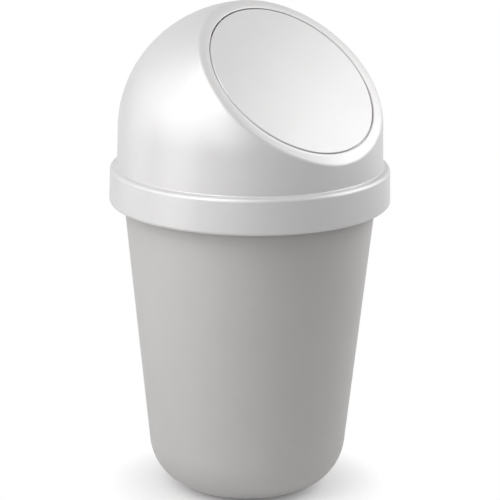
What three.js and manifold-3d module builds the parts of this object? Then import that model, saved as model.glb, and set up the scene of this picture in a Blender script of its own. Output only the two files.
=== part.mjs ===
// Round push-flap waste bin, in millimetres, +Z up.
// The origin is the middle of the base, on the floor, and the flap faces -Y.
// A tapered bucket carries a domed lid with a deep collar. A flat cut across the dome holds a round
// flap, which hangs on a pin near its upper edge, swings inwards and is closed by two springs.

import * as THREE from 'three';
import { mergeVertices } from 'three/addons/utils/BufferGeometryUtils.js';
import Module from 'manifold-3d';

const wasm = await Module();
wasm.setup();

// Clearances
const seatGap = 0.3;
const pinGap = 0.3;
const sideGap = 0.5;
const rimGap = 0.6;
const flapGap = 1.4;
const overrun = 20;

// Collar and shoulder of the lid
const collarRadius = 201;
const collarTopInset = 1;
const collarHeight = 51.2;
const collarTopEdge = 3;
const collarLipEdge = 8;
const collarLipTurn = 75 * Math.PI / 180;
const shoulderWidth = 10.5;
const shoulderRise = 2;
const shoulderWall = 2.7;

// Dome of the lid
const lidWall = 2.5;
const domeFlare = 0.4;
const domeCentreLift = 105.2;
const domeRise = 184;

// Flat cut across the dome, and the ring left round the flap
const cutTilt = 41.6 * Math.PI / 180;
const cutDistance = 116.3;
const bezelWidth = 17.5;
const bezelEdge = 8;

// Bucket
const bucketHeight = 474;
const bucketWall = 2.4;
const baseRadius = 134.4;
const baseCorner = 78;
const mouthSetIn = 8.7;
const rimDrop = 12;
const rimEdge = 1.2;
const footWidth = 16;
const footRecess = 3;

// Flap
const flapWall = 2.5;
const flapCrown = 1.5;
const flapFlange = 4;
const flapFlangeWall = 2;
const flapFlangeNeck = 5;
const ribHeight = 5;
const ribLength = 70;

// Hinge of the flap
const hingeInset = 12.5;
const hingeSpan = 104;
const earWall = 4;
const knuckleWall = 5;
const knuckleSpread = 2;
const stopAbove = 18;
const pinRadius = 2;
const capRadius = 4.5;
const capLength = 5.5;
const capWall = 1.2;

// Return springs
const wireRadius = 0.5;
const coilRadius = 4;
const coilPitch = 1.6;
const coilTurns = 6;
const coilSteps = 8;
const wireSides = 5;
const lidLeg = 17;
const flapLeg = 32;

// Number of faces on round shapes
const roundSteps = 72;
const domeSteps = 10;
const cornerSteps = 7;
const edgeSteps = 3;
const pinSteps = 16;

// Places worked out from the sizes above
const collarTop = bucketHeight + seatGap + shoulderWall;
const collarBottom = collarTop - collarHeight;
const domeRadius = collarRadius - collarTopInset - shoulderWidth + domeFlare / 2;
const domeCentre = collarBottom + domeCentreLift;
const lipCentreRadius = collarRadius - collarLipEdge;
const lipCentreHeight = collarBottom + collarLipEdge * Math.sin(collarLipTurn);
const lipInside = lipCentreRadius + (collarLipEdge - lidWall) * Math.cos(collarLipTurn);
const rimRadius = lipInside - rimGap;
const mouthRadius = rimRadius - mouthSetIn;

// A flat section of the dome is an ellipse: its centre, half width and half height
const cutReach = Math.hypot(domeRadius * Math.sin(cutTilt), domeRise * Math.cos(cutTilt));
const cutHalfWidth = domeRadius * Math.sqrt(1 - (cutDistance / cutReach) ** 2);
const cutSlopeShare = domeRise / cutReach;
const cutCentre = new THREE.Vector3(
  0,
  -(domeRadius ** 2) * Math.sin(cutTilt) * cutDistance / cutReach ** 2,
  domeCentre + domeRise ** 2 * Math.cos(cutTilt) * cutDistance / cutReach ** 2,
);

// The flap's own frame: X along the hinge, Y up the slope, Z out of the lid, origin at its outer face
const flapFrame = new THREE.Matrix4().makeRotationX(cutTilt).setPosition(cutCentre);
const openingRadius = cutHalfWidth - bezelWidth;
const flapRadius = openingRadius - flapGap;
const hingeUp = flapRadius - hingeInset;
const hingeDepth = flapWall + seatGap + wireRadius + coilRadius;
const lugRadius = hingeDepth - flapWall - seatGap;
const earInside = hingeSpan / 2 - earWall;
const knuckleOutside = earInside - sideGap;
const knuckleInside = knuckleOutside - knuckleWall;
const coilOutside = knuckleInside - sideGap - wireRadius;

// An outline's round corner, as points from one angle to another
function arc(x, y, radius, from, to, steps) {
  const points = [];
  for (let i = 0; i <= steps; i += 1) {
    const angle = from + (to - from) * i / steps;
    points.push(new THREE.Vector2(x + radius * Math.cos(angle), y + radius * Math.sin(angle)));
  }
  return points;
}

// A body turned about Z from points of radius and height
function turned(points, steps) {
  return new THREE.LatheGeometry(points, steps).rotateX(Math.PI / 2);
}

// An outline of Y and Z in the flap's frame, made solid along X from one place to another
function plate(shape, from, to) {
  const acrossX = new THREE.Matrix4().makeBasis(
    new THREE.Vector3(0, 1, 0),
    new THREE.Vector3(0, 0, 1),
    new THREE.Vector3(1, 0, 0),
  ).setPosition(from, 0, 0);
  const options = { depth: to - from, bevelEnabled: false, curveSegments: pinSteps / 2 };
  return new THREE.ExtrudeGeometry(shape, options).applyMatrix4(acrossX);
}

// A round bar on the hinge's axis, as long on both sides of the middle
function hingeBar(radius, halfLength) {
  return new THREE.CylinderGeometry(radius, radius, 2 * halfLength, pinSteps)
    .rotateZ(-Math.PI / 2)
    .translate(0, hingeUp, -hingeDepth);
}

// The hole for the pin through ears and knuckles, as a bar to cut with
function hingeBore() {
  return hingeBar(pinRadius + pinGap, hingeSpan / 2 + sideGap);
}

// A box between two corners
function block(low, high) {
  const size = new THREE.Vector3().subVectors(high, low);
  const middle = new THREE.Vector3().addVectors(low, high).multiplyScalar(0.5);
  return new THREE.BoxGeometry(size.x, size.y, size.z).translate(middle.x, middle.y, middle.z);
}

// A closed geometry as a solid that can be joined and cut
function solid(geometry) {
  const bare = geometry.clone();
  bare.deleteAttribute('normal');
  bare.deleteAttribute('uv');
  const merged = mergeVertices(bare);
  const corners = merged.index.array;
  const triangles = [];
  for (let i = 0; i < corners.length; i += 3) {
    const [a, b, c] = corners.slice(i, i + 3);
    if (a !== b && b !== c && c !== a) {
      triangles.push(a, b, c);
    }
  }
  return new wasm.Manifold(new wasm.Mesh({
    numProp: 3,
    vertProperties: new Float32Array(merged.attributes.position.array),
    triVerts: new Uint32Array(triangles),
  }));
}

// A solid back as a geometry
function surface(body) {
  const { vertProperties, triVerts } = body.getMesh();
  const geometry = new THREE.BufferGeometry();
  geometry.setAttribute('position', new THREE.BufferAttribute(vertProperties, 3));
  geometry.setIndex(new THREE.BufferAttribute(triVerts, 1));
  return geometry;
}

// The bucket: a rounded base on a narrow foot ring, a tapered wall and a turned-down rim
function bucketGeometry() {
  const taper = Math.atan2(mouthRadius - baseRadius, bucketHeight);
  const flatRadius = baseRadius - baseCorner * Math.tan((Math.PI / 2 - taper) / 2);
  const footRadius = flatRadius - footWidth;
  const wallRadius = (height) => baseRadius + height * Math.tan(taper);
  const wallAcross = bucketWall / Math.cos(taper);
  const rimUnder = bucketHeight - bucketWall;
  const lip = rimRadius - bucketWall;
  return turned([
    new THREE.Vector2(0, footRecess),
    new THREE.Vector2(footRadius - footRecess, footRecess),
    new THREE.Vector2(footRadius, 0),
    ...arc(flatRadius, baseCorner, baseCorner, -Math.PI / 2, -taper, cornerSteps),
    new THREE.Vector2(wallRadius(rimUnder), rimUnder),
    new THREE.Vector2(lip, rimUnder),
    new THREE.Vector2(lip, bucketHeight - rimDrop),
    new THREE.Vector2(rimRadius, bucketHeight - rimDrop),
    ...arc(rimRadius - rimEdge, bucketHeight - rimEdge, rimEdge, 0, Math.PI / 2, edgeSteps),
    new THREE.Vector2(wallRadius(bucketHeight) - wallAcross + rimEdge, bucketHeight),
    new THREE.Vector2(wallRadius(bucketHeight - rimEdge) - wallAcross, bucketHeight - rimEdge),
    ...arc(flatRadius, baseCorner, baseCorner - bucketWall, -taper, -Math.PI / 2, cornerSteps),
    new THREE.Vector2(footRadius, bucketWall),
    new THREE.Vector2(footRadius - footRecess, footRecess + bucketWall),
    new THREE.Vector2(0, footRecess + bucketWall),
  ], roundSteps);
}

// The dome's curve from its straight wall up to the top, for the outside or set in by the wall
function domeCurve(inset) {
  const points = [];
  for (let i = 0; i <= domeSteps; i += 1) {
    const angle = Math.PI / 2 * i / domeSteps;
    const across = i === domeSteps ? 0 : (domeRadius - inset) * Math.cos(angle);
    points.push(new THREE.Vector2(across, domeCentre + (domeRise - inset) * Math.sin(angle)));
  }
  return points;
}

// What is kept of the dome below the flat cut, with a rounded edge, for the outside or the inside
function cutLens(inset) {
  const reach = Math.hypot(cutHalfWidth, cutDistance) - inset;
  const depth = cutDistance - inset;
  const edge = bezelEdge - inset;
  const flat = Math.sqrt((reach - edge) ** 2 - (depth - edge) ** 2);
  const turn = Math.acos((depth - edge) / (reach - edge));
  const far = 2 * cutDistance + domeRise + collarRadius;
  const curve = arc(flat, -edge, edge, Math.PI / 2 - turn, Math.PI / 2, edgeSteps);
  return solid(turned([
    new THREE.Vector2(0, -far),
    new THREE.Vector2(far, -far),
    new THREE.Vector2(far, curve[0].y),
    ...curve,
    new THREE.Vector2(0, 0),
  ], roundSteps).scale(1, cutSlopeShare, 1).translate(0, 0, -inset).applyMatrix4(flapFrame));
}

// One of the lid's two ears: a lug round the pin, carried under the bezel by a web
function earShape() {
  const shape = new THREE.Shape();
  const top = -hingeDepth + lugRadius;
  const webEnd = openingRadius + bezelWidth + overrun;
  shape.moveTo(hingeUp, top);
  shape.absarc(hingeUp, -hingeDepth, lugRadius, Math.PI / 2, 3 * Math.PI / 2, false);
  shape.lineTo(webEnd, -hingeDepth - lugRadius);
  shape.lineTo(webEnd, -lidWall / 2);
  shape.lineTo(openingRadius, -lidWall / 2);
  shape.lineTo(openingRadius, top);
  shape.closePath();
  return shape;
}

// The lid: dome, shoulder and collar in one moulding, with the flap's opening and the hinge ears
function lidGeometry() {
  const seat = bucketHeight + seatGap;
  const topRadius = collarRadius - collarTopInset;
  const wallFoot = domeRadius + domeFlare;
  const outside = solid(turned([
    new THREE.Vector2(0, collarBottom),
    ...arc(lipCentreRadius, lipCentreHeight, collarLipEdge, -collarLipTurn, 0, edgeSteps),
    ...arc(topRadius - collarTopEdge, collarTop - collarTopEdge, collarTopEdge, 0, Math.PI / 2, edgeSteps),
    new THREE.Vector2(wallFoot, collarTop + shoulderRise),
    ...domeCurve(0),
  ], roundSteps)).intersect(cutLens(0));
  const inside = solid(turned([
    new THREE.Vector2(0, collarBottom - overrun),
    new THREE.Vector2(lipInside, collarBottom - overrun),
    ...arc(lipCentreRadius, lipCentreHeight, collarLipEdge - lidWall, -collarLipTurn, 0, edgeSteps),
    new THREE.Vector2(topRadius - lidWall, seat),
    new THREE.Vector2(wallFoot - lidWall, seat),
    ...domeCurve(lidWall),
  ], roundSteps)).intersect(cutLens(lidWall));
  const opening = solid(
    new THREE.CylinderGeometry(openingRadius, openingRadius, 2 * overrun, roundSteps)
      .rotateX(Math.PI / 2)
      .applyMatrix4(flapFrame),
  );
  let lid = outside.subtract(inside).subtract(opening);
  for (const side of [-1, 1]) {
    const places = [side * earInside, side * (earInside + earWall)].sort((a, b) => a - b);
    const ear = solid(plate(earShape(), ...places).applyMatrix4(flapFrame));
    lid = lid.add(ear.intersect(outside));
  }
  return surface(lid.subtract(solid(hingeBore().applyMatrix4(flapFrame))));
}

// One of the flap's two knuckles: a lug round the pin, joined to the panel above it and to a rib
function knuckleShape() {
  const shape = new THREE.Shape();
  const under = -flapWall - seatGap;
  const inPanel = -flapWall / 2;
  shape.moveTo(hingeUp + lugRadius, inPanel);
  shape.lineTo(hingeUp + lugRadius, -hingeDepth);
  shape.absarc(hingeUp, -hingeDepth, lugRadius, 0, -Math.PI, true);
  shape.lineTo(hingeUp - lugRadius - knuckleSpread, under - ribHeight);
  shape.lineTo(hingeUp - ribLength, under);
  shape.lineTo(hingeUp - ribLength, inPanel);
  shape.closePath();
  return shape;
}

// The flap: a crowned round panel with a flange behind the bezel and two knuckles on the pin
function flapGeometry() {
  const crownRadius = (flapRadius ** 2 + flapCrown ** 2) / (2 * flapCrown);
  const crown = Math.asin(flapRadius / crownRadius);
  const flangeTop = -lidWall - seatGap;
  const flangeUnder = flangeTop - flapFlangeWall;
  const neck = flapRadius - flapFlangeNeck;
  const crownCentre = flapCrown - crownRadius;
  const crownCurve = arc(0, crownCentre, crownRadius, Math.PI / 2 - crown, Math.PI / 2, edgeSteps);
  crownCurve[edgeSteps].x = 0;
  let flap = solid(turned([
    new THREE.Vector2(0, -flapWall),
    new THREE.Vector2(neck, -flapWall),
    new THREE.Vector2(neck, flangeUnder),
    new THREE.Vector2(openingRadius + flapFlange, flangeUnder),
    new THREE.Vector2(openingRadius + flapFlange, flangeTop),
    new THREE.Vector2(flapRadius, flangeTop),
    ...crownCurve,
  ], roundSteps));
  const reach = openingRadius + flapFlange + overrun;
  flap = flap.subtract(solid(block(
    new THREE.Vector3(-reach, hingeUp - stopAbove, flangeUnder - overrun),
    new THREE.Vector3(reach, reach, -flapWall),
  )));
  for (const side of [-1, 1]) {
    const places = [side * knuckleInside, side * knuckleOutside].sort((a, b) => a - b);
    flap = flap.add(solid(plate(knuckleShape(), ...places)));
  }
  return surface(flap.subtract(solid(hingeBore())));
}

// The steel pin that the flap turns on, through both ears and both knuckles
const pinHalfLength = hingeSpan / 2 + seatGap + capLength - capWall - seatGap;

// A push-on cap over the pin's end, hollow like a thimble
function capGeometry() {
  const bore = pinRadius + pinGap;
  return turned([
    new THREE.Vector2(0, capLength - capWall),
    new THREE.Vector2(bore, capLength - capWall),
    new THREE.Vector2(bore, 0),
    new THREE.Vector2(capRadius, 0),
    ...arc(capRadius - capWall, capLength - capWall, capWall, 0, Math.PI / 2, edgeSteps),
    new THREE.Vector2(0, capLength),
  ], pinSteps);
}

// The wire's middle line: a leg under the bezel, the turns round the pin, a leg under the flap
class SpringLine extends THREE.Curve {
  constructor(side) {
    super();
    this.side = side;
    this.turnLength = Math.hypot(2 * Math.PI * coilRadius, coilPitch);
    this.total = lidLeg + coilTurns * this.turnLength + flapLeg;
  }

  getPoint(share, target = new THREE.Vector3()) {
    const along = share * this.total - lidLeg;
    const coiled = coilTurns * this.turnLength;
    const turns = Math.min(Math.max(along / this.turnLength, 0), coilTurns);
    const angle = Math.PI / 2 + 2 * Math.PI * turns;
    const before = Math.min(along, 0);
    const after = Math.max(along - coiled, 0);
    return target.set(
      this.side * (coilOutside - coilPitch * turns),
      hingeUp + coilRadius * Math.cos(angle) - before - after,
      -hingeDepth + coilRadius * Math.sin(angle),
    );
  }
}

// A torsion spring: one unbroken wire along its line
function springGeometry(side) {
  const line = new SpringLine(side);
  const steps = Math.round(line.total / line.turnLength * coilSteps);
  const section = new THREE.Shape(arc(0, 0, wireRadius, 0, 2 * Math.PI, wireSides).slice(0, wireSides));
  return new THREE.ExtrudeGeometry(section, { steps, extrudePath: line, bevelEnabled: false });
}

// The least gap between turns of one spring, measured on points of its middle line
function springSelfGap() {
  const line = new SpringLine(1);
  const count = coilTurns * coilSteps * 4;
  const points = [];
  for (let i = 0; i <= count; i += 1) {
    points.push(line.getPoint(i / count));
  }
  const apart = line.turnLength / 2;
  const stride = line.total / count;
  let least = Infinity;
  for (let i = 0; i <= count; i += 1) {
    for (let j = i + Math.ceil(apart / stride); j <= count; j += 1) {
      least = Math.min(least, points[i].distanceTo(points[j]));
    }
  }
  return least - 2 * wireRadius;
}

console.log(`spring self gap ${springSelfGap().toFixed(2)} mm`);

function material(color, roughness, metalness) {
  return new THREE.MeshStandardMaterial({ color, roughness, metalness });
}

function piece(name, geometry, finish) {
  const mesh = new THREE.Mesh(geometry, finish);
  mesh.name = name;
  return mesh;
}

const bin = new THREE.Group();
bin.add(piece('bucket', bucketGeometry(), material(0xb0afad, 0.5, 0)));
bin.add(piece('lid', lidGeometry(), material(0xcccccc, 0.4, 0.3)));

const flapGroup = new THREE.Group();
flapGroup.applyMatrix4(flapFrame);
bin.add(flapGroup);

flapGroup.add(piece('flap', flapGeometry(), material(0xcccccc, 0.4, 0.3)));
flapGroup.add(piece('hinge_pin', hingeBar(pinRadius, pinHalfLength), material(0xb8b9ba, 0.3, 1)));

for (const [side, word] of [[-1, 'left'], [1, 'right']]) {
  const cap = piece(`pin_cap_${word}`, capGeometry(), material(0x2c2c2d, 0.5, 0));
  cap.rotation.y = side * Math.PI / 2;
  cap.position.set(side * (hingeSpan / 2 + seatGap), hingeUp, -hingeDepth);
  flapGroup.add(cap);
  flapGroup.add(piece(`return_spring_${word}`, springGeometry(side), material(0xa5a6a8, 0.3, 1)));
}

export default bin;
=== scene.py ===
import math

import bmesh
import bpy
import numpy as np
from mathutils import Matrix, Vector


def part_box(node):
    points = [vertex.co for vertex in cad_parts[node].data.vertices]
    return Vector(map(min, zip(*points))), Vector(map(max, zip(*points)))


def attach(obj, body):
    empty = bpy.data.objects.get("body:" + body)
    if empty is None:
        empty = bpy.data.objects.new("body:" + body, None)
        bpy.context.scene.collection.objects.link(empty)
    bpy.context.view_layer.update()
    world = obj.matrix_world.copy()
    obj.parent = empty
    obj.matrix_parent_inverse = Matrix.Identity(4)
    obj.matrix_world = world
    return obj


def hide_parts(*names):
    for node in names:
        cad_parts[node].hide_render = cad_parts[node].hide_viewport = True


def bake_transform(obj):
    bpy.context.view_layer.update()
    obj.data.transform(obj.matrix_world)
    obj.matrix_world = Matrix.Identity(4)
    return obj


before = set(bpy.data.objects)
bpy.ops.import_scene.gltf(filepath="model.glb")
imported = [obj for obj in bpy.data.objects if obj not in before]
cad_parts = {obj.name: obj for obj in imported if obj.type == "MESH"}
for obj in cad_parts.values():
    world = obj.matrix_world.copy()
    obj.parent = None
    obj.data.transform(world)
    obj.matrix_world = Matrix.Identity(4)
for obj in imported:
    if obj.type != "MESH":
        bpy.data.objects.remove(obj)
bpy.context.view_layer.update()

bl_info = {
    "name": "Round Waste Bin",
    "version": (1, 0, 0),
    "blender": (4, 5, 0),
    "location": "3D View > Sidebar > Waste Bin",
    "description": "Builds the looks of a round waste bin with a push flap on its CAD frame",
    "category": "Object",
}

BUCKET_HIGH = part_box("bucket")[1]
LID_LOW, LID_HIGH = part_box("lid")
PIN_LOW, PIN_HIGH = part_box("hinge_pin")
PIN_CENTRE = (PIN_LOW + PIN_HIGH) / 2
MM = 0.001
SIDES = ((-1, "left"), (1, "right"))
STEPS = 240  # Round the bucket, lid and flap
SMALL_STEPS = 48  # Round the pin and its caps
HALVINGS = 42  # Of a range, in a search for a place


# Settings that a user would change

def length(name, description, default):
    return bpy.props.FloatProperty(
        name=name, description=description, default=default, unit="LENGTH", precision=4
    )


def angle(name, description, degrees):
    return bpy.props.FloatProperty(
        name=name, description=description, default=math.radians(degrees), subtype="ANGLE"
    )


def colour(name, description, default):
    return bpy.props.StringProperty(name=name, description=description, default=default)


class BIN_PG_lid(bpy.types.PropertyGroup):
    """Sizes of the lid: collar, shoulder, dome and the ring round the flap."""

    collar_radius: length("Collar radius", "Outside of the collar", LID_HIGH.x)
    collar_bottom: length("Collar bottom", "Height of the collar's lower edge", LID_LOW.z)
    collar_height: length("Collar height", "From the lower edge to the shoulder", 51.2 * MM)
    shoulder_edge: length("Shoulder edge", "Radius of the collar's upper edge", 5.5 * MM)
    shoulder_wall: length("Shoulder wall", "From the shoulder down to the seat on the rim", 2.7 * MM)
    shoulder_rise: length("Shoulder rise", "How much higher the shoulder is beside the dome", 1.7 * MM)
    cove: length("Cove", "Radius where the dome's wall meets the shoulder", 1.8 * MM)
    lip: length("Lip", "Radius that the collar's lower edge turns in by", 5 * MM)
    lip_turn: angle("Lip turn", "Angle that the collar's lower edge turns in by", 75)
    wall: length("Wall", "Wall thickness of the lid and flap", 2.5 * MM)
    dome_radius: length("Dome radius", "Half width of the dome", 188.8 * MM)
    dome_flare: length("Dome flare", "How much wider the wall's foot is", 1.3 * MM)
    dome_centre: length("Dome centre", "Height where the dome begins to close", 531 * MM)
    dome_rise: length("Dome rise", "Height of the whole dome over its centre", 182.3 * MM)
    cut_tilt: angle("Cut tilt", "Lean of the cut from level", 41.6)
    cut_distance: length("Cut distance", "From the dome's centre to the cut", 115.9 * MM)
    cut_edge: length("Cut edge", "Radius between the ring and the dome", 9 * MM)
    ring_width: length("Ring width", "From the opening to the dome", 16.44 * MM)
    ring_flat: length("Ring flat", "Flat part of the ring, beside the opening", 7 * MM)
    ring_bend: length("Ring bend", "Half width of the bend between flat and slope", 1.2 * MM)
    ring_rise: length("Ring rise", "How far the flat part stands above the cut", 0.9 * MM)
    ring_fall: length("Ring fall", "How much further the ring falls at its lower end", 2.2 * MM)
    opening_drop: length("Opening drop", "How far the opening sits below the cut's middle", 1.09 * MM)
    opening_edge: length("Opening edge", "Radius of the opening's upper edge", 1.7 * MM)
    colour: colour("Lid colour", "Moulded polypropylene, sRGB hex", "#C8C7C7")


class BIN_PG_flap(bpy.types.PropertyGroup):
    """Sizes of the flap, its knuckles, the pin, the caps and the springs."""

    gap: length("Seam", "Gap between the flap and the opening", 1.4 * MM)
    crown: length("Crown", "How far the middle stands above the rim", 1.5 * MM)
    edge: length("Flap edge", "Radius of the flap's upper edge", 1.7 * MM)
    flange: length("Flange", "Reach of the stop behind the ring", 4 * MM)
    flange_wall: length("Flange wall", "Thickness of the stop", 2 * MM)
    flange_neck: length("Flange neck", "Width of the stop's root", 5 * MM)
    rib_height: length("Rib height", "Depth of the ribs at the knuckles", 5 * MM)
    rib_length: length("Rib length", "Ribs from the pin down the slope", 70 * MM)
    hinge_inset: length("Hinge inset", "Pin from the flap's upper edge", 10.9 * MM)
    hinge_depth: length("Hinge depth", "Pin below the flap's outer face", 7.8 * MM)
    hinge_span: length("Hinge span", "Across the outsides of the two ears", 104 * MM)
    stop_above: length("Stop end", "Where the stop ends below the pin", 18 * MM)
    ear_wall: length("Ear wall", "Thickness of an ear", 4 * MM)
    knuckle_wall: length("Knuckle wall", "Thickness of a knuckle", 5 * MM)
    side_gap: length("Side gap", "Gap between ear, knuckle and spring", 0.5 * MM)
    clearance: length("Clearance", "Gap round the pin and behind the ring", 0.3 * MM)
    lug_radius: length("Lug radius", "Round end of ears and knuckles", 4.5 * MM)
    lug_edge: length("Lug edge", "Radius of the edges of ears and knuckles", 0.4 * MM)
    pin_radius: length("Pin radius", "Radius of the steel pin", 2 * MM)
    cap_radius: length("Cap radius", "Radius of the pin's caps", 4.5 * MM)
    cap_length: length("Cap length", "Length of the pin's caps", 5.5 * MM)
    cap_wall: length("Cap wall", "Thickness of a cap's closed end", 1.2 * MM)
    wire_radius: length("Wire radius", "Radius of the spring wire", 0.5 * MM)
    coil_radius: length("Coil radius", "Middle of the wire round the pin", 4 * MM)
    coil_pitch: length("Coil pitch", "From one turn to the next", 1.6 * MM)
    coil_turns: bpy.props.IntProperty(name="Coil turns", description="Turns in each spring", default=6)
    lid_leg: length("Lid leg", "Straight end under the ring", 13 * MM)
    flap_leg: length("Flap leg", "Straight end under the flap", 32 * MM)
    pin_colour: colour("Pin colour", "Drawn steel, sRGB hex", "#C4C5C7")
    cap_colour: colour("Cap colour", "Moulded polyamide, sRGB hex", "#262627")
    spring_colour: colour("Spring colour", "Drawn spring wire, sRGB hex", "#A9AAAD")


class BIN_PG_bucket(bpy.types.PropertyGroup):
    """Sizes of the bucket."""

    height: length("Height", "Up to the rim", BUCKET_HIGH.z)
    wall: length("Wall", "Wall thickness", 2.4 * MM)
    base_radius: length("Base radius", "Half width of the taper at the floor", 134.4 * MM)
    base_corner: length("Base corner", "Radius from the wall to the base", 78 * MM)
    rim_radius: length("Rim radius", "Half width of the turned-down rim", BUCKET_HIGH.x)
    mouth_set_in: length("Mouth set-in", "Rim's width out from the wall", 8.7 * MM)
    rim_drop: length("Rim drop", "How far the rim turns down", 12 * MM)
    rim_edge: length("Rim edge", "Radius of the rim's upper edge", 1.2 * MM)
    rim_lip: length("Rim lip", "Radius of the rim's lower edge", 0.7 * MM)
    foot_width: length("Foot width", "Width of the ring that it stands on", 16 * MM)
    foot_recess: length("Foot recess", "Depth of the recess in the base", 3 * MM)
    crease: length("Crease", "Radius of the bends at the foot and under the rim", 1 * MM)
    colour: colour("Bucket colour", "Moulded polypropylene, sRGB hex", "#B9B8B7")


class BIN_PG_stage(bpy.types.PropertyGroup):
    """Camera, lamps and floor."""

    azimuth: angle("Azimuth", "Camera round the bin, 0 looks along +Y", -45.28)
    elevation: angle("Elevation", "Camera above the horizon", 15.31)
    roll: angle("Roll", "Camera's turn about its line of sight", 0.631)
    distance: length("Distance", "Camera to the target", 4.2988)
    target_height: length("Target height", "Height of the target on the bin's axis", 0.424)
    right: length("Right", "Camera's move to the right of the target", 0.0011)
    up: length("Up", "Camera's move above the target", -0.06942)
    lens: bpy.props.FloatProperty(name="Lens", description="Focal length", default=216.17, unit="CAMERA")
    floor_radius: length("Floor radius", "Half width of the floor", 14.0)
    floor_colour: colour("Floor colour", "Matt painted board, sRGB hex", "#E8E6E6")
    fade_start: length("Fade start", "Where the floor begins to turn white", 0.06)
    fade_end: length("Fade end", "Where the floor has turned white", 0.2)
    lamp_height: length("Lamp height", "Height that the lamps aim at", 0.4)
    fill: bpy.props.FloatProperty(name="Fill", description="Light from all round", default=0.02)


# Node materials

def linear(code):
    """An sRGB hex colour as linear RGBA."""
    channels = [int(code[i:i + 2], 16) / 255 for i in (1, 3, 5)]
    return [c / 12.92 if c <= 0.04045 else ((c + 0.055) / 1.055) ** 2.4 for c in channels] + [1.0]


def shade(code, factor):
    """The same colour, lighter or darker by a factor."""
    return [min(1.0, c * factor) for c in linear(code)[:3]] + [1.0]


def grey(value):
    return [value, value, value, 1.0]


def add(tree, kind, settings=None, stops=(), **inputs):
    """Adds a shader node with its settings or (place, colour) stops, and a value or link per input."""
    node = tree.nodes.new("ShaderNode" + kind)
    for name, value in (settings or {}).items():
        setattr(node, name, value)
    for n, (place, tone) in enumerate(stops):
        node.color_ramp.elements[n].position = place
        node.color_ramp.elements[n].color = tone
    for name, value in inputs.items():
        key = int(name[1:]) if name[0] == "_" else name.replace("_", " ")
        if isinstance(value, bpy.types.Node):
            value = value.outputs[0]
        if isinstance(value, bpy.types.NodeSocket):
            tree.links.new(value, node.inputs[key])
        else:
            node.inputs[key].default_value = value
    return node


def new_material(name):
    """An empty material, its tree and the place on the piece in its own frame."""
    material = bpy.data.materials.new(name)
    material.use_nodes = True
    tree = material.node_tree
    tree.nodes.clear()
    return material, tree, add(tree, "TexCoord").outputs["Object"]


def worn_edge(tree, place, height, band, gain):
    """How rubbed a place is: a band along the edge that hands or floor touch, broken up by noise."""
    level = add(tree, "SeparateXYZ", Vector=place).outputs["Z"]
    away = add(tree, "Math", {"operation": "SUBTRACT"}, _0=level, _1=height)
    away = add(tree, "Math", {"operation": "ABSOLUTE"}, _0=away)
    near = add(tree, "MapRange", Value=away, From_Max=band, To_Min=1.0, To_Max=0.0)
    patch = add(tree, "TexNoise", Vector=place, Scale=1 / (9 * MM), Detail=4.0, Roughness=0.65)
    patch = add(tree, "ValToRGB", stops=[(0.45, grey(0.0)), (0.7, grey(1.0))], Fac=patch)
    worn = add(tree, "Math", {"operation": "MULTIPLY"}, _0=near, _1=patch)
    return add(tree, "Math", {"operation": "MULTIPLY"}, _0=worn, _1=gain)


def moulded(
    name, code, roughness, specular, mottle, grain, grain_depth,
    flake=0.0, wear_height=0.0, wear_band=1 * MM, wear_gain=0.0,
):
    """Injection-moulded plastic: faint colour mottle, fine grain, uneven gloss and paler rubbed edges."""
    material, tree, place = new_material(name)
    worn = worn_edge(tree, place, wear_height, wear_band, wear_gain)
    cloud = add(tree, "TexNoise", Vector=place, Scale=1 / (60 * MM), Detail=3.0, Roughness=0.55)
    fleck = add(tree, "TexNoise", Vector=place, Scale=1 / (1.6 * MM), Detail=2.0, Roughness=0.6)
    ends = [(0.25, shade(code, 1 - mottle)), (0.75, shade(code, 1 + mottle))]
    tones = add(tree, "ValToRGB", stops=ends, Fac=cloud)
    overlay = {"data_type": "RGBA", "blend_type": "OVERLAY"}
    flecked = add(tree, "Mix", overlay, _0=0.05, _6=tones, _7=fleck).outputs[2]
    base = add(tree, "Mix", {"data_type": "RGBA"}, _0=worn, _6=flecked, _7=shade(code, 1.12))

    # Uneven gloss: rubbed marks 14 mm long, because real handling scratches are too fine to show
    level = add(tree, "Mapping", Vector=place, Scale=(1.0, 1.0, 9.0))
    marks = add(tree, "TexNoise", Vector=level, Scale=1 / (14 * MM), Detail=6.0, Roughness=0.7)
    ends = [(0.3, grey(roughness * 0.94)), (0.7, grey(roughness * 1.07))]
    gloss = add(tree, "ValToRGB", stops=ends, Fac=marks)
    dull = min(1.0, roughness * 1.3)
    rough = add(tree, "Mix", {"data_type": "FLOAT"}, _0=worn, _2=gloss, _3=dull)

    # Spark-eroded grain of the mould. The real one, about 0.1 mm, is too fine to show and drawn coarser
    bumps = add(tree, "TexNoise", Vector=place, Scale=1 / grain, Detail=3.0, Roughness=0.6)
    bump = add(tree, "Bump", Strength=0.35, Distance=grain_depth, Height=bumps)
    shader = add(
        tree, "BsdfPrincipled", Base_Color=base.outputs[2], Roughness=rough, IOR=1.49,
        Specular_IOR_Level=specular, Metallic=flake, Normal=bump,
    )
    add(tree, "OutputMaterial", Surface=shader)
    return material


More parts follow.
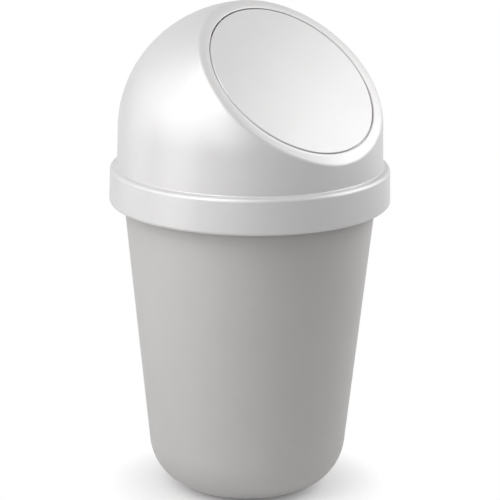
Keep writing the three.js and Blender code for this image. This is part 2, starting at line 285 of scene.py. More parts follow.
def drawn_metal(name, code, roughness, along, across):
    """Drawn steel: lines along the wire or rod, drawn coarser than the real marks, which are too fine."""
    material, tree, place = new_material(name)
    stretched = add(tree, "Mapping", Vector=place, Scale=(1 / along, 1 / across, 1 / across))
    lines = add(tree, "TexNoise", Vector=stretched, Scale=1.0, Detail=4.0, Roughness=0.6)
    ends = [(0.3, shade(code, 0.78)), (0.65, shade(code, 1.05))]
    tone = add(tree, "ValToRGB", stops=ends, Fac=lines)
    ends = [(0.3, grey(roughness * 1.35)), (0.7, grey(roughness * 0.85))]
    rough = add(tree, "ValToRGB", stops=ends, Fac=lines)
    bump = add(tree, "Bump", Strength=0.25, Distance=0.02 * MM, Height=lines)
    shader = add(tree, "BsdfPrincipled", Base_Color=tone, Roughness=rough, Metallic=1.0, Normal=bump)
    add(tree, "OutputMaterial", Surface=shader)
    return material


def satin_moulded_polypropylene(name):
    # Silver-grey satin with a little metal flake: a broad bright highlight that falls off to mid grey
    lid = bpy.context.scene.bin_lid
    return moulded(
        name, lid.colour, roughness=0.38, specular=0.5, flake=0.2, mottle=0.012, grain=0.9 * MM,
        grain_depth=0.03 * MM, wear_height=lid.collar_bottom, wear_band=9 * MM, wear_gain=0.5,
    )


def matt_moulded_polypropylene(name):
    # Mid grey of a spark-eroded mould: dull, slightly scuffed where it meets the floor
    code = bpy.context.scene.bin_bucket.colour
    return moulded(
        name, code, roughness=0.52, specular=0.4, mottle=0.016, grain=1.1 * MM, grain_depth=0.06 * MM,
        wear_band=26 * MM, wear_gain=0.7,
    )


def black_moulded_polyamide(name):
    # Small dark mouldings with a dull sheen
    code = bpy.context.scene.bin_flap.cap_colour
    return moulded(
        name, code, roughness=0.48, specular=0.5, mottle=0.05, grain=0.5 * MM, grain_depth=0.03 * MM,
    )


def drawn_steel_rod(name):
    # Bright bar with drawing lines along its length
    return drawn_metal(name, bpy.context.scene.bin_flap.pin_colour, 0.3, 12 * MM, 0.25 * MM)


def drawn_spring_wire(name):
    # Greyer and finer than the rod
    return drawn_metal(name, bpy.context.scene.bin_flap.spring_colour, 0.34, 2.5 * MM, 0.2 * MM)


def finish(make):
    """The material that a function makes, named for the function and made once."""
    return bpy.data.materials.get(make.__name__) or make(make.__name__)


# Mesh making

def put_piece(name, mesh, body, make, nodes=()):
    """Makes a mesh a piece with its finish, riding on a body and standing for CAD nodes."""
    mesh.materials.clear()
    mesh.materials.append(finish(make))
    piece = bpy.data.objects.new(name, mesh)
    bpy.context.collection.objects.link(piece)
    if body:
        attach(piece, body)
    if nodes:
        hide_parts(*nodes)
    return piece


def new_piece(name, points, normals, faces, body, slot, make, nodes):
    """A closed skin as a piece, smooth all over."""
    mesh = bpy.data.meshes.new(name)
    mesh.from_pydata([tuple(p) for p in points], [], faces)
    mesh.validate()
    mesh.update()
    mesh.shade_smooth()
    if normals is not None:
        mesh.normals_split_custom_set_from_vertices([tuple(n) for n in normals])
    return put_piece(name, mesh, body, make, nodes)


def rounded(corners, step=9.0, longest=None):
    """An outline through (x, y, radius) corners as points and right-hand normals, each corner an arc."""
    places = [Vector(c[:2]) for c in corners]
    points, headings = [], []

    def put(point, heading):
        if not points or (point - points[-1]).length > 1e-7:
            points.append(point)
            headings.append(heading)

    put(places[0], (places[1] - places[0]).normalized())
    for last, here, following, corner in zip(places, places[1:], places[2:], corners[1:]):
        before = (last - here).normalized()
        after = (following - here).normalized()
        half = before.angle(after) / 2
        turn = math.pi - 2 * half
        if turn < 1e-4:
            put(here, after)
            continue
        centre = here + (before + after).normalized() * (corner[2] / math.sin(half))
        arm = here + before * (corner[2] / math.tan(half)) - centre
        sign = 1.0 if (-before).cross(after) > 0 else -1.0
        count = max(2, math.ceil(math.degrees(turn) / step))
        for k in range(count + 1):
            spin = Matrix.Rotation(sign * turn * k / count, 2)
            put(centre + spin @ arm, spin @ -before)
    put(places[-1], (places[-1] - places[-2]).normalized())
    if longest:
        points, headings = split_runs(points, headings, longest)
    flat = np.array([tuple(p) for p in points])
    ahead = np.array([tuple(h) for h in headings])
    return flat, np.stack([ahead[:, 1], -ahead[:, 0]], 1)


def split_runs(points, headings, longest):
    """Adds points on straight runs that are longer than wanted."""
    made, aims = [points[0]], [headings[0]]
    for a, b, heading in zip(points, points[1:], headings[1:]):
        pieces = max(1, math.ceil((b - a).length / longest))
        straight = (b - a).normalized()
        for k in range(1, pieces):
            made.append(a.lerp(b, k / pieces))
            aims.append(straight)
        made.append(b)
        aims.append(heading)
    return made, aims


def woven(rows, flip=False):
    """Faces between closed rows of point numbers, with triangles where a row is a single point."""
    faces = []
    for low, high in zip(rows, rows[1:]):
        for k in range(len(low)):
            j = (k + 1) % len(low)
            face = [low[k], low[j], high[j], high[k]]
            face = [v for n, v in enumerate(face) if v != face[n - 1]]
            faces.append(face[::-1] if flip else face)
    return faces


def moved(points, normals, place):
    """Points and normals moved by a matrix."""
    matrix = np.array(place)
    return np.array(points) @ matrix[:3, :3].T + matrix[:3, 3], np.array(normals) @ matrix[:3, :3].T


def turned(outline, steps, place):
    """Sweeps an outline once round Z and moves it by a matrix. Ends on the axis close up."""
    points, normals, rows = [], [], []
    for (radius, height), (out, up) in zip(*outline):
        if radius < 1e-9:
            rows.append([len(points)] * steps)
            points.append((0.0, 0.0, height))
            normals.append((0.0, 0.0, 1.0 if up > 0 else -1.0))
            continue
        rows.append(range(len(points), len(points) + steps))
        for k in range(steps):
            x, y = math.cos(2 * math.pi * k / steps), math.sin(2 * math.pi * k / steps)
            points.append((radius * x, radius * y, height))
            normals.append((out * x, out * y, up))
    return *moved(points, normals, place), woven(rows)


def turned_part(loop, steps, place, start, sweep):
    """Sweeps a closed loop part of the way round Z, with flat ends, and moves it by a matrix."""
    count = len(loop[0])
    points, normals, faces = [], [], []
    for k in range(steps + 1):
        turn = start + sweep * k / steps
        way = np.array([math.cos(turn), math.sin(turn), 0.0])
        for (radius, height), (out, up) in zip(*loop):
            points.append(way * radius + (0, 0, height))
            normals.append(way * out + (0, 0, up))
    for k in range(steps):
        a, b = k * count, (k + 1) * count
        for i in range(count):
            j = (i + 1) % count
            faces.append([a + i, b + i, b + j, a + j])
    for k, way in ((0, 1), (steps, -1)):
        cap = [len(points) + i for i in range(count)]
        points += points[k * count:(k + 1) * count]
        turn = start + sweep * k / steps
        normals += [np.array([math.sin(turn), -math.cos(turn), 0.0]) * way] * count
        faces.append(cap[::way])
    return *moved(points, normals, place), faces


def tube(path, radius, sides, dome_rows=3):
    """A round wire along a path, with domed ends, as points and faces."""
    path = np.array(path)
    ahead = unit(np.gradient(path, axis=0))
    side = np.cross(ahead[0], (1.0, 0.0, 0.0))
    across = []
    for heading in ahead:
        side = side - heading * np.dot(side, heading)
        side /= np.linalg.norm(side)
        across.append((side, np.cross(heading, side)))
    swell = [math.pi / 2 * k / dome_rows for k in range(dome_rows)]
    rings = [(0, -radius * math.cos(a), radius * math.sin(a)) for a in swell]
    rings += [(i, 0.0, radius) for i in range(len(path))]
    rings += [(len(path) - 1, radius * math.cos(a), radius * math.sin(a)) for a in reversed(swell)]
    points, rows = [], []
    for index, shift, reach in rings:
        ring = sides if reach > 1e-9 else 1
        rows.append(list(range(len(points), len(points) + ring)) * (sides // ring))
        for k in range(ring):
            turn = 2 * math.pi * k / sides
            out = across[index][0] * math.cos(turn) + across[index][1] * math.sin(turn)
            points.append(path[index] + ahead[index] * shift + out * reach)
    return points, woven(rows)


def plate_mesh(rings, half, bevel):
    """A flat bevelled plate, filled between an outline and its holes."""
    curve = bpy.data.curves.new("plate", "CURVE")
    curve.dimensions = "2D"
    curve.fill_mode = "BOTH"
    curve.extrude = half - bevel
    curve.bevel_depth = bevel
    curve.bevel_resolution = 2
    curve.offset = -bevel
    for ring in rings:
        spline = curve.splines.new("POLY")
        spline.points.add(len(ring) - 1)
        for point, (x, y) in zip(spline.points, ring):
            point.co = (x, y, 0.0, 1.0)
        spline.use_cyclic_u = True
    holder = bpy.data.objects.new("plate", curve)
    bpy.context.collection.objects.link(holder)
    bpy.context.view_layer.update()
    shown = holder.evaluated_get(bpy.context.evaluated_depsgraph_get())
    mesh = bpy.data.meshes.new_from_object(shown)
    bpy.data.objects.remove(holder)
    bpy.data.curves.remove(curve)
    return mesh


def new_lugs(name, outline, beside, thickness, body):
    """Two plates across the pin, left and right, with the pin's hole, crisp faces and round edges."""
    flap = bpy.context.scene.bin_flap
    hole = round_pin(flap.pin_radius + flap.clearance, 0, 2 * math.pi, 33)[:-1]
    for side, word in SIDES:
        mesh = plate_mesh([outline, hole], thickness / 2, flap.lug_edge)
        swing = Matrix(((0, 0, 1, side * beside), (1, 0, 0, 0), (0, 1, 0, 0), (0, 0, 0, 1)))
        work = bmesh.new()
        work.from_mesh(mesh)
        bmesh.ops.remove_doubles(work, verts=work.verts, dist=1e-6)
        bmesh.ops.recalc_face_normals(work, faces=work.faces)
        work.transform(flap_frame() @ swing)
        work.to_mesh(mesh)
        work.free()
        mesh.shade_smooth()
        mesh.set_sharp_from_angle(angle=math.radians(50))
        put_piece(name + word, mesh, body, satin_moulded_polypropylene)


# The dome, its cut and the places that follow from them

def cut_reach():
    """From the dome's centre to the level where the cut would just touch the dome."""
    lid = bpy.context.scene.bin_lid
    level, upright = math.cos(lid.cut_tilt), math.sin(lid.cut_tilt)
    return math.hypot(lid.dome_radius * upright, lid.dome_rise * level)


def flap_frame():
    """The flap's own frame: X along the hinge, Y up the slope, Z out of the lid, origin at its face."""
    lid = bpy.context.scene.bin_lid
    share = lid.cut_distance / cut_reach() ** 2
    centre = Vector((
        0.0,
        -(lid.dome_radius ** 2) * math.sin(lid.cut_tilt) * share,
        lid.dome_centre + lid.dome_rise ** 2 * math.cos(lid.cut_tilt) * share,
    ))
    lift = Matrix.Translation((0.0, -lid.opening_drop, lid.ring_rise))
    return Matrix.Translation(centre) @ Matrix.Rotation(lid.cut_tilt, 4, "X") @ lift


def opening_radius():
    """Radius of the round opening: half the width of the cut through the dome, less the ring."""
    lid = bpy.context.scene.bin_lid
    return lid.dome_radius * math.sqrt(1 - (lid.cut_distance / cut_reach()) ** 2) - lid.ring_width


def round_pin(radius, start, end, count):
    """An arc round the pin in the flap's frame, as points (up the slope, out of the lid)."""
    flap = bpy.context.scene.bin_flap
    return [
        (hinge_up() + radius * math.cos(a), -flap.hinge_depth + radius * math.sin(a))
        for a in np.linspace(start, end, count)
    ]


def hinge_up():
    """From the flap's middle up the slope to the pin."""
    flap = bpy.context.scene.bin_flap
    return opening_radius() - flap.gap - flap.hinge_inset


def ring_slope(theta):
    """Angle by which the outer part of the ring falls away, at each angle about the flap."""
    lid = bpy.context.scene.bin_lid
    low = ((1 - np.sin(theta)) / 2) ** 3
    return np.arctan2(lid.ring_rise + lid.ring_fall * low, lid.ring_width - lid.ring_flat)


def flat_reach(theta):
    """From the flap's middle to the outer end of the ring's flat part, at each angle about the flap."""
    lid = bpy.context.scene.bin_lid
    share = lid.dome_rise / cut_reach()
    flat = opening_radius() + lid.ring_flat
    x, y = np.cos(theta), np.sin(theta) / share
    half = y * lid.opening_drop / share
    square = x ** 2 + y ** 2
    rest = flat ** 2 - (lid.opening_drop / share) ** 2
    return (half + np.sqrt(half ** 2 + square * rest)) / square


def unit(vectors):
    return vectors / np.linalg.norm(vectors, axis=1)[:, None]


def meridian(low, dome_count=6000, wall_count=800):
    """The dome's outline from its top down to a height: points, outward normals and run length."""
    lid = bpy.context.scene.bin_lid
    lean = np.linspace(math.pi / 2, 0, dome_count)
    curve = np.stack([
        lid.dome_radius * np.cos(lean),
        lid.dome_centre + lid.dome_rise * np.sin(lean),
    ], 1)
    facing = np.stack([np.cos(lean) / lid.dome_radius, np.sin(lean) / lid.dome_rise], 1)
    foot = lid.collar_bottom + lid.collar_height
    share = np.linspace(0, 1, wall_count)[1:] * (lid.dome_centre - low) / (lid.dome_centre - foot)
    wall = np.stack([
        lid.dome_radius + lid.dome_flare * share,
        lid.dome_centre - (lid.dome_centre - foot) * share,
    ], 1)
    side = np.tile([lid.dome_centre - foot, lid.dome_flare], (len(wall), 1))
    line = np.vstack([curve, wall])
    run = np.concatenate([[0], np.cumsum(np.linalg.norm(np.diff(line, axis=0), axis=1))])
    return line, unit(np.vstack([facing, side])), run


def ball_centres(theta, dome, place):
    """Rolls a ball along the corner between ring and dome: its centres, and its run down the dome."""
    lid = bpy.context.scene.bin_lid
    line, facing, run = dome
    path = line - lid.cut_edge * facing
    matrix = np.array(place)
    origin, across, upward, out = matrix[:3, 3], matrix[:3, 0], matrix[:3, 1], matrix[:3, 2]
    ways = np.cos(theta)[:, None] * across + np.sin(theta)[:, None] * upward
    sine, cosine = np.sin(ring_slope(theta)), np.cos(ring_slope(theta))
    level = flat_reach(theta) * sine - lid.cut_edge
    near = np.full(len(theta), opening_radius() * 0.9)
    far = np.full(len(theta), opening_radius() * 1.5)
    for _ in range(HALVINGS):
        middle = (near + far) / 2
        rise = (level - middle * sine) / cosine
        centre = origin + rise[:, None] * out + middle[:, None] * ways
        limit = np.interp(-centre[:, 2], -path[:, 1], path[:, 0])
        inside = np.hypot(centre[:, 0], centre[:, 1]) < limit
        near = np.where(inside, middle, near)
        far = np.where(inside, far, middle)
    return centre, np.interp(-centre[:, 2], -path[:, 1], run)


def lid_columns(count, dome, place):
    """Angles about the flap, spread so that both the opening and the collar get even columns."""
    dense = np.linspace(-math.pi / 2, 3 * math.pi / 2, 721)
    centre, _ = ball_centres(dense, dome, place)
    turn = np.unwrap(np.arctan2(centre[:, 1], centre[:, 0]))
    mixed = (dense + turn) / 2
    wanted = mixed[0] + (mixed[-1] - mixed[0]) * np.arange(count) / count
    return np.interp(wanted, mixed, dense)


def arc_between(first, second, count):
    """Unit vectors turning evenly from one set to another."""
    bend = np.arccos(np.clip((first * second).sum(1), -1, 1))[:, None]
    return [
        (np.sin((1 - share) * bend) * first + np.sin(share * bend) * second) / np.sin(bend)
        for share in (k / count for k in range(count + 1))
    ]


def collar_outline(low):
    """The lid's section from the dome's foot round shoulder, collar, lip and seat, back to the foot."""
    lid = bpy.context.scene.bin_lid
    foot = lid.collar_bottom + lid.collar_height
    seat = foot - lid.shoulder_wall
    foot_radius = lid.dome_radius + lid.dome_flare
    draft_outside = 1.2 * MM
    draft_inside = 1 * MM
    seat_corner = 0.8 * MM
    top_inside = lid.collar_radius - draft_inside - lid.wall
    bend = math.tan(lid.lip_turn / 2)
    inner = lid.lip - lid.wall
    centre = Vector((lid.collar_radius - lid.lip, lid.collar_bottom + lid.lip * math.sin(lid.lip_turn)))
    lip_in = centre.x + inner * math.cos(lid.lip_turn)
    return rounded([
        (foot_radius, low, 0),
        (foot_radius, foot + lid.shoulder_rise, lid.cove),
        (lid.collar_radius - draft_outside, foot, lid.shoulder_edge),
        (lid.collar_radius, centre.y - lid.lip * bend, lid.lip * 0.98),
        (centre.x + lid.lip * math.cos(lid.lip_turn), lid.collar_bottom, 0.1 * MM),
        (lip_in, lid.collar_bottom, 0.25 * MM),
        (lip_in, centre.y - inner * math.sin(lid.lip_turn), 0.4 * MM),
        (lid.collar_radius - lid.wall, centre.y - inner * bend, inner * 0.8),
        (top_inside, seat, seat_corner),
        (foot_radius - lid.wall, seat, seat_corner),
        (foot_radius - lid.wall, low, 0),
    ], longest=9 * MM)


def lid_mesh(columns=STEPS, dome_rows=46, edge_rows=9):
    """The lid as one closed skin: ring, rounded cut edge, dome, shoulder, collar and the inside."""
    lid = bpy.context.scene.bin_lid
    place = flap_frame()
    matrix = np.array(place)
    origin, out = matrix[:3, 3], matrix[:3, 2]
    above_cove = 2 * MM + 1.6 * lid.cove
    low = lid.collar_bottom + lid.collar_height + above_cove
    line, facing, run = meridian(low)
    theta = lid_columns(columns, (line, facing, run), place)
    centre, touch = ball_centres(theta, (line, facing, run), place)
    turn = np.arctan2(centre[:, 1], centre[:, 0])
    around = np.stack([np.cos(turn), np.sin(turn)], 1)
    ways = np.cos(theta)[:, None] * matrix[:3, 0] + np.sin(theta)[:, None] * matrix[:3, 1]
    ones = np.ones(columns)

    def about_axis(away, up):
        return np.column_stack([around * (away * ones)[:, None], up * ones])

    def about_flap(points, normals):
        """Rows about the flap's middle. Its outlines have the skin on their left, so normals turn."""
        return [
            (origin + reach * ways + rise * out, -away * ways - up * out)
            for (reach, rise), (away, up) in zip(points, normals)
        ]

    # Opening's edge, then the ring's flat and sloping parts
    opening = opening_radius()
    edge_end = opening + 1.2 * lid.opening_edge
    edge_low = -1.1 * lid.opening_edge
    lip = rounded([(opening, edge_low, 0), (opening, 0, lid.opening_edge), (edge_end, 0, 0)], step=15)
    slope = ring_slope(theta)[:, None]
    leaning = np.sin(slope) * ways + np.cos(slope) * out
    bend = flat_reach(theta)[:, None]
    level = origin + (bend - lid.ring_bend) * ways
    begin = origin + (bend + lid.ring_bend) * ways - lid.ring_bend * np.tan(slope) * out
    end = centre + lid.cut_edge * leaning
    ring = [(level, np.tile(out, (columns, 1))), (begin, leaning), ((begin + end) / 2, leaning)]

    # Rounded edge of the cut, then the dome down to its foot
    def along_dome(at, pairs):
        return about_axis(np.interp(at, run, pairs[:, 0]), np.interp(at, run, pairs[:, 1]))

    turns = arc_between(leaning, unit(along_dome(touch, facing)), edge_rows)
    dome = []
    for k in range(1, dome_rows + 1):
        at = touch + (run[-1] - touch) * k / dome_rows
        dome.append((along_dome(at, line), unit(along_dome(at, facing))))

    skin = about_flap(*lip) + ring + [(centre + lid.cut_edge * way, way) for way in turns] + dome
    places, aims = collar_outline(low)
    for (radius, height), (away, up) in zip(places[1:-1], aims[1:-1]):
        skin.append((about_axis(radius, height), -about_axis(away, up)))

    # Inside of dome, cut edge and ring, one wall further in
    skin += [(points - lid.wall * normals, -normals) for points, normals in reversed(dome)]
    skin += [(centre + (lid.cut_edge - lid.wall) * way, -way) for way in reversed(turns)]
    skin += [(points - lid.wall * normals, -normals) for points, normals in reversed(ring)]
    under = rounded([
        (edge_end, -lid.wall, 0), (opening, -lid.wall, 0.5 * MM), (opening, edge_low, 0),
    ], step=15)
    skin += about_flap(under[0][:-1], under[1][:-1])

    rows = [range(i * columns, (i + 1) * columns) for i in range(len(skin))]
    points, normals = zip(*skin)
    return np.vstack(points), unit(np.vstack(normals)), woven(rows + rows[:1], flip=True)


# Operators

class BIN_OT_bucket(bpy.types.Operator):
    """Makes the tapered bucket with its rounded base, foot ring and turned-down rim"""

    bl_idname = "bin.bucket"
    bl_label = "Bucket"

    def execute(self, context):
        size = context.scene.bin_bucket
        mouth = size.rim_radius - size.mouth_set_in
        taper = math.atan2(mouth - size.base_radius, size.height)
        flat = size.base_radius - size.base_corner * math.tan((math.pi / 2 - taper) / 2)
        foot = flat - size.foot_width
        across = size.wall / math.cos(taper)
        under = size.height - size.wall
        lip = size.rim_radius - size.wall
        under_corner = 0.8 * MM

        def wall_at(height):
            return size.base_radius + height * math.tan(taper)

        outline = rounded([
            (0, size.foot_recess, 0),
            (foot - size.foot_recess, size.foot_recess, size.crease),
            (foot, 0, size.crease),
            (size.base_radius, 0, size.base_corner),
            (wall_at(under), under, size.crease),
            (lip, under, under_corner),
            (lip, size.height - size.rim_drop, size.rim_lip),
            (size.rim_radius, size.height - size.rim_drop, size.rim_lip),
            (size.rim_radius, size.height, size.rim_edge),
            (wall_at(size.height) - across, size.height, size.rim_edge),
            (wall_at(size.wall) - across, size.wall, size.base_corner - size.wall),
            (foot, size.wall, size.crease),
            (foot - size.foot_recess, size.foot_recess + size.wall, size.crease),
            (0, size.foot_recess + size.wall, 0),
        ], step=4.5, longest=24 * MM)
        new_piece(
            "bucket_body", *turned(outline, STEPS, Matrix.Identity(4)), "bucket", "bucket_plastic",
            matt_moulded_polypropylene, ["bucket"],
        )
        return {"FINISHED"}


class BIN_OT_lid(bpy.types.Operator):
    """Makes the lid's skin and the two ears that carry the pin"""

    bl_idname = "bin.lid"
    bl_label = "Lid"

    def execute(self, context):
        lid = context.scene.bin_lid
        flap = context.scene.bin_flap
        new_piece("lid_shell", *lid_mesh(), "lid", "lid_plastic", satin_moulded_polypropylene, ["lid"])

        # Each ear is a round lug on a web that dies away in the ring and the dome's wall
        opening = opening_radius()
        beside = flap.hinge_span / 2 - flap.ear_wall / 2
        to_world = np.array(flap_frame())
        furthest = opening + 60 * MM

        def in_wall(rise):
            """How far up the slope the middle of the dome's wall lies at that depth."""
            a, c = lid.dome_radius - lid.wall / 2, lid.dome_rise - lid.wall / 2
            near, far = opening, furthest
            for _ in range(HALVINGS):
                middle = (near + far) / 2
                x, y, z = to_world[:3, :3] @ (beside, middle, rise) + to_world[:3, 3]
                if (x * x + y * y) / a ** 2 + ((z - lid.dome_centre) / c) ** 2 < 1:
                    near = middle
                else:
                    far = middle
            return near

        def in_ring(reach):
            """A point in the middle of the ring's wall, at that place up the slope."""
            past = max(0, math.hypot(beside, reach) - opening - lid.ring_flat)
            return reach, -lid.wall / 2 - past * math.tan(ring_slope(math.pi / 2))

        bottom = -flap.hinge_depth - flap.lug_radius
        root = opening + 1 * MM
        root_width = 6 * MM
        outline = round_pin(flap.lug_radius, math.pi / 2, 3 * math.pi / 2, 25)
        outline += [(in_wall(bottom), bottom), (in_wall(-lid.cut_edge), -lid.cut_edge)]
        outline += [in_ring(root + root_width), in_ring(root)]
        outline.append((root, -flap.hinge_depth + flap.lug_radius))
        new_lugs("hinge_ear_", outline, beside, flap.ear_wall, "lid")
        return {"FINISHED"}


class BIN_OT_flap(bpy.types.Operator):
    """Makes the round flap with its stop behind the ring, its knuckles and their ribs"""

    bl_idname = "bin.flap"
    bl_label = "Flap"

    def execute(self, context):
        lid = context.scene.bin_lid
        flap = context.scene.bin_flap
        place = flap_frame()
        opening = opening_radius()
        radius = opening - flap.gap
        under = -lid.wall - flap.clearance

        # Crowned panel
        swell = (radius ** 2 + flap.crown ** 2) / (2 * flap.crown)
        panel = rounded([
            (0, -lid.wall, 0),
            (radius, -lid.wall, 0.4 * MM),
            (radius, 0, flap.edge),
            (radius - flap.edge * 1.2, 0, 0),
        ], step=15, longest=20 * MM)
        leans = np.linspace(math.asin((radius - flap.edge) / swell), 0, 20)[1:]
        facing = np.stack([np.sin(leans), np.cos(leans)], 1)
        crown = facing * swell + (0, flap.crown - swell)
        outline = (np.vstack([panel[0][:-1], crown]), np.vstack([panel[1][:-1], facing]))
        panel = turned(outline, STEPS, place)

        # The stop runs round behind the ring, short of the hinge
        low = under - flap.flange_wall
        neck = radius - flap.flange_neck
        rim = radius - 0.8 * MM
        reach = opening + flap.flange
        soft = 0.5 * MM
        buried = 0.3 * MM
        clear = math.asin((hinge_up() - flap.stop_above) / reach)
        loop = rounded([
            (neck + 1 * MM, -lid.wall / 2, 0),
            (neck, -lid.wall / 2, buried),
            (neck, low, soft),
            (reach, low, soft),
            (reach, under, soft),
            (rim, under, 0.2 * MM),
            (rim, -lid.wall / 2, buried),
            (neck + 1 * MM, -lid.wall / 2, 0),
        ], step=22)
        loop = [part[:-1] for part in loop]
        stop = turned_part(loop, 200, place, -math.pi - clear, math.pi + 2 * clear)
        faces = panel[2] + [[v + len(panel[0]) for v in face] for face in stop[2]]
        new_piece(
            "flap_panel", np.vstack([panel[0], stop[0]]), np.vstack([panel[1], stop[1]]), faces,
            "flap", "lid_plastic", satin_moulded_polypropylene, ["flap"],
        )

        # Knuckles on the pin, each with a rib down the slope
        start_up = math.sqrt((radius - flap.edge) ** 2 - (flap.hinge_span / 2) ** 2)
        end_up = hinge_up() - flap.rib_length
        rib_start = hinge_up() - flap.lug_radius - 2 * MM
        outline = [(start_up, -lid.wall / 2)] + round_pin(flap.lug_radius, 0, -math.pi, 25)
        outline += [
            (rib_start, under - flap.rib_height),
            (end_up, under),
            (end_up, -lid.wall / 2),
        ]
        outside = flap.hinge_span / 2 - flap.ear_wall - flap.side_gap
        new_lugs("flap_knuckle_", outline, outside - flap.knuckle_wall / 2, flap.knuckle_wall, "flap")
        return {"FINISHED"}


class BIN_OT_hinge_pin(bpy.types.Operator):
    """Makes the steel pin with chamfered ends and the two caps over them"""

    bl_idname = "bin.hinge_pin"
    bl_label = "Hinge pin and caps"

    def execute(self, context):
        flap = context.scene.bin_flap
        along = Matrix.Translation(PIN_CENTRE) @ Matrix.Rotation(math.pi / 2, 4, "Y")
        end = 0.45 * MM
        pin = rounded([
            (0, -PIN_HIGH.x, 0),
            (flap.pin_radius, -PIN_HIGH.x, end),
            (flap.pin_radius, PIN_HIGH.x, end),
            (0, PIN_HIGH.x, 0),
        ], step=18, longest=8 * MM)
        new_piece(
            "hinge_pin_rod", *turned(pin, SMALL_STEPS, along), "lid", "pin_steel",
            drawn_steel_rod, ["hinge_pin"],
        )
        bore = flap.pin_radius + flap.clearance
        floor = flap.cap_length - flap.cap_wall
        cap = rounded([
            (0, floor, 0),
            (bore, floor, 0.2 * MM),
            (bore, 0, 0.3 * MM),
            (flap.cap_radius, 0, 0.35 * MM),
            (flap.cap_radius, flap.cap_length, 1.2 * MM),
            (0, flap.cap_length, 0),
        ], step=15)
        for side, word in SIDES:
            spot = Vector((side * (flap.hinge_span / 2 + flap.clearance), PIN_CENTRE.y, PIN_CENTRE.z))
            place = Matrix.Translation(spot) @ Matrix.Rotation(side * math.pi / 2, 4, "Y")
            new_piece(
                "pin_cap_" + word + "_moulding", *turned(cap, SMALL_STEPS, place), "lid", "cap_plastic",
                black_moulded_polyamide, ["pin_cap_" + word],
            )
        return {"FINISHED"}


class BIN_OT_springs(bpy.types.Operator):
    """Makes the two torsion springs round the pin, in their rest shape; the real springs twist as the
    flap swings
    """

    bl_idname = "bin.springs"
    bl_label = "Return springs"

    def execute(self, context):
        flap = context.scene.bin_flap
        place = flap_frame()
        up = hinge_up()
        outer = (
            flap.hinge_span / 2 - flap.ear_wall - flap.side_gap - flap.knuckle_wall
            - flap.side_gap - flap.wire_radius
        )
        inner = outer - flap.coil_pitch * flap.coil_turns
        for side, word in SIDES:
            path = [
                (side * outer, up + flap.lid_leg * share, flap.coil_radius)
                for share in np.linspace(1, 0, 12)[:-1]
            ]
            for turn in np.linspace(0, flap.coil_turns, 32 * flap.coil_turns + 1):
                round_by = math.pi / 2 + 2 * math.pi * turn
                path.append((
                    side * (outer - flap.coil_pitch * turn),
                    up + flap.coil_radius * math.cos(round_by),
                    flap.coil_radius * math.sin(round_by),
                ))
            path += [
                (side * inner, up - flap.flap_leg * share, flap.coil_radius)
                for share in np.linspace(0, 1, 18)[1:]
            ]
            path = [place @ Vector((x, y, z - flap.hinge_depth)) for x, y, z in path]
            points, faces = tube(path, flap.wire_radius, 12)
            spring = new_piece(
                "return_spring_" + word + "_wire", points, None, faces, None, "spring_steel",
                drawn_spring_wire, ["return_spring_" + word],
            )
            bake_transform(spring)
        return {"FINISHED"}


# Stage

# Name, azimuth and elevation in degrees, distance, width and height in metres, power in watts
LAMPS = [
    ("left_high_softbox", -85, 55, 1.5, 0.9, 1.2, 11.5),
    ("left_softbox", -85, 30, 1.5, 0.9, 1.2, 4.6),
    ("left_low_softbox", -105, 8, 1.5, 0.9, 1.2, 4.7),
    ("left_back_softbox", -125, 30, 1.5, 0.9, 1.2, 3.7),
    ("back_left_softbox", -150, 8, 1.5, 0.9, 1.2, 2.0),
    ("front_softbox", -65, 15, 2.0, 1.0, 1.0, 5.3),
    ("right_front_softbox", 35, 15, 2.0, 1.0, 1.0, 5.4),
    ("right_high_softbox", 55, 35, 1.2, 0.8, 0.8, 7.5),
    ("right_low_softbox", 75, 12, 1.2, 0.8, 0.8, 1.4),
]


def outwards(azimuth, elevation):
    """From the target towards a camera or lamp. Azimuth 0 looks along +Y."""
    level = math.cos(elevation)
    return Vector((math.sin(azimuth) * level, -math.cos(azimuth) * level, math.sin(elevation)))


def softbox(name, azimuth, elevation, distance, width, height, power):
    """A rectangular lamp on a sphere round the target, facing it."""
    lamp = bpy.data.lights.new(name, "AREA")
    lamp.shape = "RECTANGLE"
    lamp.size = width
    lamp.size_y = height
    lamp.energy = power
    holder = bpy.data.objects.new(name, lamp)
    bpy.context.collection.objects.link(holder)
    back = outwards(math.radians(azimuth), math.radians(elevation))
    holder.location = Vector((0, 0, bpy.context.scene.bin_stage.lamp_height)) + back * distance
    holder.rotation_mode = "QUATERNION"
    holder.rotation_quaternion = (-back).to_track_quat("-Z", "Y")
    holder.visible_camera = False


def make_camera(stage):
    right = Vector((math.cos(stage.azimuth), math.sin(stage.azimuth), 0))
    back = outwards(stage.azimuth, stage.elevation)
    up = back.cross(right)
    turned_right = math.cos(stage.roll) * right + math.sin(stage.roll) * up
    turned_up = math.cos(stage.roll) * up - math.sin(stage.roll) * right
    data = bpy.data.cameras.new("camera")
    data.sensor_width = 36.0
    data.lens = stage.lens
    data.clip_end = 100.0
    camera = bpy.data.objects.new("camera", data)
    bpy.context.collection.objects.link(camera)
    target = Vector((0, 0, stage.target_height))
    place = target + right * stage.right + up * stage.up + back * stage.distance
    columns = Matrix((turned_right, turned_up, back)).transposed().to_4x4()
    camera.matrix_world = Matrix.Translation(place) @ columns
    bpy.context.scene.camera = camera


def seen(tree):
    """1 for rays of the camera, mirrors and clear glass, and 0 for the light that falls on the bin."""
    rays = add(tree, "LightPath").outputs
    larger = {"operation": "MAXIMUM"}
    direct = add(tree, "Math", larger, _0=rays["Is Camera Ray"], _1=rays["Is Glossy Ray"])
    return add(tree, "Math", larger, _0=direct, _1=rays["Is Transmission Ray"])


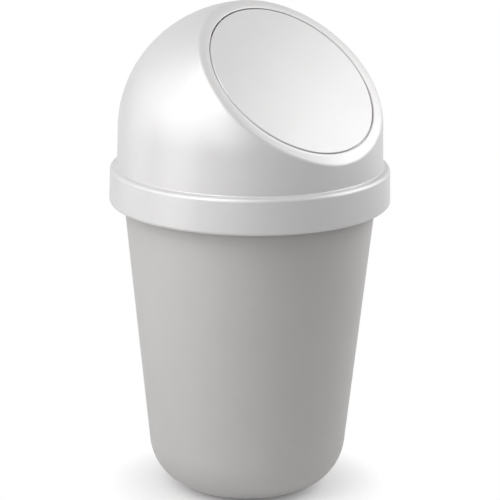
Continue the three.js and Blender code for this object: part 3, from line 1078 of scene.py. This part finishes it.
def matt_painted_board(name):
    # Pale floor that keeps the bin's soft shadow and turns white further out
    stage = bpy.context.scene.bin_stage
    code = stage.floor_colour
    material, tree, place = new_material(name)
    speck = add(tree, "TexNoise", Vector=place, Scale=1 / (8 * MM), Detail=3.0)
    tone = add(tree, "ValToRGB", stops=[(0.3, shade(code, 0.99)), (0.7, shade(code, 1.01))], Fac=speck)
    board = add(tree, "BsdfPrincipled", Base_Color=tone, Roughness=0.9)
    away = add(tree, "VectorMath", {"operation": "LENGTH"}, _0=place).outputs["Value"]
    fade = add(tree, "MapRange", Value=away, From_Min=stage.fade_start, From_Max=stage.fade_end)
    share = add(tree, "Math", {"operation": "MULTIPLY"}, _0=seen(tree), _1=fade)
    white = add(tree, "Emission", Color=(1, 1, 1, 1), Strength=1.0)
    mixed = add(tree, "MixShader", _0=share, _1=board, _2=white)
    add(tree, "OutputMaterial", Surface=mixed)
    return material


def make_floor(stage):
    outline = rounded([(stage.floor_radius, 0, 0), (0, 0, 0)], longest=1.0)
    points, _, faces = turned(outline, 96, Matrix.Identity(4))
    mesh = bpy.data.meshes.new("floor")
    mesh.from_pydata([tuple(p) for p in points], [], faces)
    mesh.materials.append(finish(matt_painted_board))
    floor = bpy.data.objects.new("floor", mesh)
    bpy.context.collection.objects.link(floor)


def make_world(stage):
    """White surroundings for what the eye and reflections see, and little fill besides the lamps."""
    world = bpy.data.worlds.new("studio")
    world.use_nodes = True
    tree = world.node_tree
    tree.nodes.clear()
    fill = add(tree, "Background", Color=(1, 1, 1, 1), Strength=stage.fill)
    white = add(tree, "Background", Color=(1, 1, 1, 1), Strength=1.0)
    both = add(tree, "MixShader", _0=seen(tree), _1=fill, _2=white)
    add(tree, "OutputWorld", Surface=both)
    bpy.context.scene.world = world


class BIN_OT_stage(bpy.types.Operator):
    """Makes the camera, the pale floor and the soft studio lamps"""

    bl_idname = "bin.stage"
    bl_label = "Stage"

    def execute(self, context):
        stage = context.scene.bin_stage
        make_camera(stage)
        context.scene.view_settings.view_transform = "Standard"
        make_floor(stage)
        make_world(stage)
        for lamp in LAMPS:
            softbox(*lamp)
        return {"FINISHED"}


class BIN_PT_panel(bpy.types.Panel):
    """Lists the bin's pieces and their settings"""

    bl_idname = "BIN_PT_panel"
    bl_label = "Waste Bin"
    bl_space_type = "VIEW_3D"
    bl_region_type = "UI"
    bl_category = "Waste Bin"

    def draw(self, context):
        for kind in OPERATORS:
            self.layout.operator(kind.bl_idname)
        for group in GROUPS:
            box = self.layout.box()
            settings = getattr(context.scene, group)
            for name in settings.bl_rna.properties.keys():
                if name not in ("rna_type", "name"):
                    box.prop(settings, name)


OPERATORS = (BIN_OT_stage, BIN_OT_bucket, BIN_OT_lid, BIN_OT_flap, BIN_OT_hinge_pin, BIN_OT_springs)
GROUPS = {
    "bin_lid": BIN_PG_lid,
    "bin_flap": BIN_PG_flap,
    "bin_bucket": BIN_PG_bucket,
    "bin_stage": BIN_PG_stage,
}


def register():
    for kind in (*GROUPS.values(), *OPERATORS, BIN_PT_panel):
        bpy.utils.register_class(kind)
    for name, group in GROUPS.items():
        setattr(bpy.types.Scene, name, bpy.props.PointerProperty(type=group))


def unregister():
    for name in GROUPS:
        delattr(bpy.types.Scene, name)
    for kind in (BIN_PT_panel, *reversed(OPERATORS), *reversed(GROUPS.values())):
        bpy.utils.unregister_class(kind)


def main():
    register()
    make_all = bpy.ops.bin
    for make in (
        make_all.stage, make_all.bucket, make_all.lid,
        make_all.flap, make_all.hinge_pin, make_all.springs,
    ):
        if make() != {"FINISHED"}:
            raise RuntimeError(make.idname() + " didn't finish")


if __name__ == "__main__":
    main()
